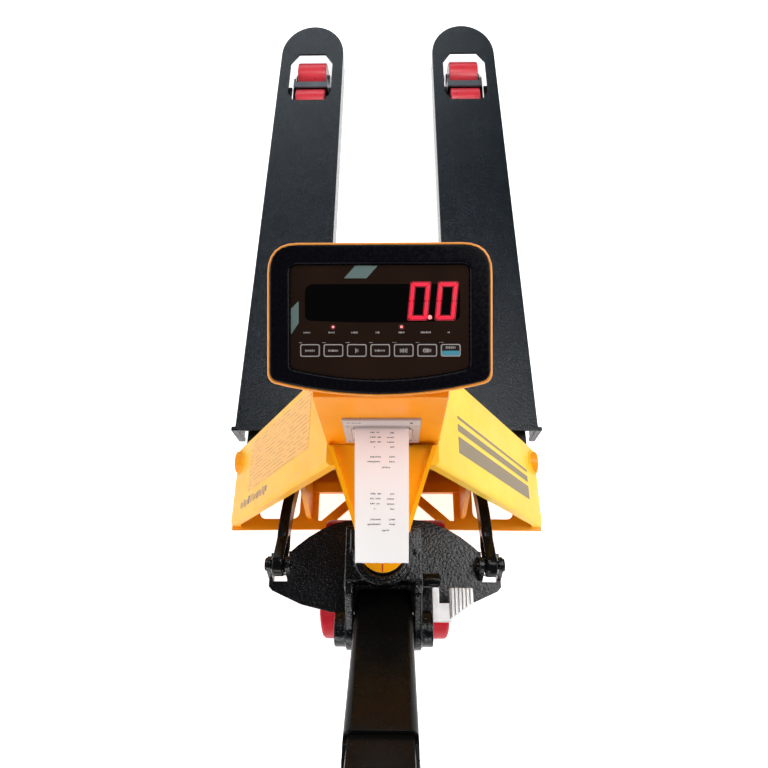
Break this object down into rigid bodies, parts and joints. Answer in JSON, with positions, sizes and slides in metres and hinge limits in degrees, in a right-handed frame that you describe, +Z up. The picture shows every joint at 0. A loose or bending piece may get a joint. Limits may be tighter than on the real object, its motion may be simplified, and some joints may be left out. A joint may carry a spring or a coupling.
{
  "type": "pallet scale",
  "caption": "Hand pallet truck with weighing fork covers, an indicator on a short tower, a ticket printer, a steered hydraulic pump and a tilting drawbar.",
  "frame": {"origin": "on the floor under the middle of the outline", "axes": "+Z up, +Y towards the fork tips, +X to the operator's right when standing behind the drawbar"},
  "size_m": [0.564, 2.1134, 0.9975],
  "materials": {
    "frame_paint": "semi-gloss powder coat",
    "cover_paint": "fine hammertone",
    "hammer_black": "coarse hammertone",
    "gloss_black": "gloss",
    "grip_plastic": "satin",
    "aluminium": "cast",
    "steel": "turned",
    "red_tread": "polyurethane",
    "hub_cast": "painted",
    "dark_plastic": "moulded",
    "grey_plastic": "moulded",
    "bezel_black": "satin",
    "face_black": "gloss film",
    "board_green": "circuit board",
    "platen_rubber": "matte",
    "paper": "thermal paper",
    "key_film": "printed film"
  },
  "bodies": {
    "chassis": {"base_plate": "frame_paint", "rib_plates": "frame_paint", "wing_left": "frame_paint", "wing_right": "frame_paint", "front_wall": "frame_paint", "nose": "frame_paint", "tower": "frame_paint", "tower_rear_cover": "frame_paint", "inner_fork_left": "frame_paint", "inner_fork_right": "frame_paint", "fork_cover_left": "cover_paint", "fork_cover_right": "cover_paint", "load_cells": "aluminium", "load_cell_fittings": "aluminium", "frame_hinge_pins": "steel", "piston_rod": "steel", "battery": "dark_plastic", "junction_box": "grey_plastic", "indicator_housing": "frame_paint", "indicator_bezel": "bezel_black", "faceplate": "face_black", "circuit_board": "board_green", "printer_frame": "grey_plastic", "receipt_paper": "paper"},
    "lid": {"printer_door": "grey_plastic"},
    "platen": {"platen_roller": "platen_rubber"},
    "roll": {"paper_roll": "paper"},
    "button_1": {"key_1": "key_film"},
    "button_2": {"key_2": "key_film"},
    "button_3": {"key_3": "key_film"},
    "button_4": {"key_4": "key_film"},
    "button_5": {"key_5": "key_film"},
    "button_6": {"key_6": "key_film"},
    "button_7": {"key_7": "key_film"},
    "lift_base": {"thrust_plate": "hammer_black", "ear_pins": "steel", "thrust_bearing": "steel"},
    "pump": {"pump_body": "hammer_black", "pump_head": "hammer_black", "wheel_axle": "steel", "handle_axle": "steel"},
    "steer_wheel_left": {"steer_hub_left": "hub_cast", "steer_tyre_left": "red_tread"},
    "steer_wheel_right": {"steer_hub_right": "hub_cast", "steer_tyre_right": "red_tread"},
    "pedal": {"release_pedal": "aluminium"},
    "drawbar": {"drawbar_sleeve": "gloss_black", "drawbar_tube": "gloss_black", "grip_loop": "grip_plastic"},
    "lever": {"control_lever": "grip_plastic"},
    "rocker": {"torsion_shaft": "steel", "rocker_arms": "hammer_black", "push_levers": "hammer_black"},
    "rods": {"push_rods": "hammer_black"},
    "frames": {"roller_frames": "hammer_black"},
    "bogie": {"bogies": "hammer_black"},
    "load_roller_lf": {"roller_left_front": "red_tread"},
    "load_roller_lr": {"roller_left_rear": "red_tread"},
    "load_roller_rf": {"roller_right_front": "red_tread"},
    "load_roller_rr": {"roller_right_rear": "red_tread"}
  },
  "joints": [
    {"name": "lift", "type": "slide", "parent": "chassis", "child": "lift_base", "axis": [0, 0, -1], "range_m": [0, 0.11]},
    {"name": "steer", "type": "hinge", "parent": "lift_base", "child": "pump", "pos_m": [0, -0.34631, 0.186], "axis": [0, 0, 1], "range_deg": [-80, 80]},
    {"name": "steer_wheel_left_spin", "type": "hinge", "parent": "pump", "child": "steer_wheel_left", "pos_m": [-0.071, -0.34631, 0.09], "axis": [1, 0, 0], "continuous": true},
    {"name": "steer_wheel_right_spin", "type": "hinge", "parent": "pump", "child": "steer_wheel_right", "pos_m": [0.071, -0.34631, 0.09], "axis": [1, 0, 0], "continuous": true},
    {"name": "drawbar_tilt", "type": "hinge", "parent": "pump", "child": "drawbar", "pos_m": [0, -0.42631, 0.25], "axis": [1, 0, 0], "range_deg": [-38, 40]},
    {"name": "lever_tilt", "type": "hinge", "parent": "drawbar", "child": "lever", "pos_m": [0, -0.98554, 0.91646], "axis": [1, 0, 0], "range_deg": [-10, 10]},
    {"name": "pedal_press", "type": "hinge", "parent": "pump", "child": "pedal", "pos_m": [0.064, -0.36631, 0.24], "axis": [1, 0, 0], "range_deg": [0, 8], "stiffness_Nm_per_rad": 2, "springref_deg": -11.46},
    {"name": "rocker_turn", "type": "hinge", "parent": "chassis", "child": "rocker", "pos_m": [0, -0.15431, 0.091], "axis": [1, 0, 0], "range_deg": [0, 29.3]},
    {"name": "rods_level", "type": "hinge", "parent": "rocker", "child": "rods", "pos_m": [0.195, -0.16873, 0.03585], "axis": [1, 0, 0], "range_deg": [-29.3, 0]},
    {"name": "frames_drop", "type": "hinge", "parent": "chassis", "child": "frames", "pos_m": [0.195, 0.73471, 0.024], "axis": [1, 0, 0], "range_deg": [-56.12, 0]},
    {"name": "bogie_level", "type": "hinge", "parent": "frames", "child": "bogie", "pos_m": [0.195, 0.85869, 0.04], "axis": [1, 0, 0], "range_deg": [0, 56.12]},
    {"name": "load_roller_lf_spin", "type": "hinge", "parent": "bogie", "child": "load_roller_lf", "pos_m": [-0.195, 0.90869, 0.04], "axis": [1, 0, 0], "continuous": true},
    {"name": "load_roller_lr_spin", "type": "hinge", "parent": "bogie", "child": "load_roller_lr", "pos_m": [-0.195, 0.80869, 0.04], "axis": [1, 0, 0], "continuous": true},
    {"name": "load_roller_rf_spin", "type": "hinge", "parent": "bogie", "child": "load_roller_rf", "pos_m": [0.195, 0.90869, 0.04], "axis": [1, 0, 0], "continuous": true},
    {"name": "load_roller_rr_spin", "type": "hinge", "parent": "bogie", "child": "load_roller_rr", "pos_m": [0.195, 0.80869, 0.04], "axis": [1, 0, 0], "continuous": true},
    {"name": "lid_open", "type": "hinge", "parent": "chassis", "child": "lid", "pos_m": [0, -0.23381, 0.4475], "axis": [1, 0, 0], "range_deg": [0, 80]},
    {"name": "platen_spin", "type": "hinge", "parent": "lid", "child": "platen", "pos_m": [0, -0.22831, 0.475], "axis": [1, 0, 0], "continuous": true},
    {"name": "paper_roll_spin", "type": "hinge", "parent": "chassis", "child": "roll", "pos_m": [0, -0.20931, 0.462], "axis": [1, 0, 0], "continuous": true},
    {"name": "button_1_press", "type": "slide", "parent": "chassis", "child": "button_1", "axis": [0, 0.4226, -0.9063], "range_m": [0, 0.0006], "stiffness_N_per_m": 600, "springref_m": -0.0004},
    {"name": "button_2_press", "type": "slide", "parent": "chassis", "child": "button_2", "axis": [0, 0.4226, -0.9063], "range_m": [0, 0.0006], "stiffness_N_per_m": 600, "springref_m": -0.0004},
    {"name": "button_3_press", "type": "slide", "parent": "chassis", "child": "button_3", "axis": [0, 0.4226, -0.9063], "range_m": [0, 0.0006], "stiffness_N_per_m": 600, "springref_m": -0.0004},
    {"name": "button_4_press", "type": "slide", "parent": "chassis", "child": "button_4", "axis": [0, 0.4226, -0.9063], "range_m": [0, 0.0006], "stiffness_N_per_m": 600, "springref_m": -0.0004},
    {"name": "button_5_press", "type": "slide", "parent": "chassis", "child": "button_5", "axis": [0, 0.4226, -0.9063], "range_m": [0, 0.0006], "stiffness_N_per_m": 600, "springref_m": -0.0004},
    {"name": "button_6_press", "type": "slide", "parent": "chassis", "child": "button_6", "axis": [0, 0.4226, -0.9063], "range_m": [0, 0.0006], "stiffness_N_per_m": 600, "springref_m": -0.0004},
    {"name": "button_7_press", "type": "slide", "parent": "chassis", "child": "button_7", "axis": [0, 0.4226, -0.9063], "range_m": [0, 0.0006], "stiffness_N_per_m": 600, "springref_m": -0.0004}
  ],
  "couplings": [
    {"joint": "rocker_turn", "follows": "lift", "rad_per_m": 4.6489},
    {"joint": "rods_level", "follows": "lift", "rad_per_m": -4.6489},
    {"joint": "frames_drop", "follows": "lift", "rad_per_m": -8.9039},
    {"joint": "bogie_level", "follows": "lift", "rad_per_m": 8.9039}
  ]
}
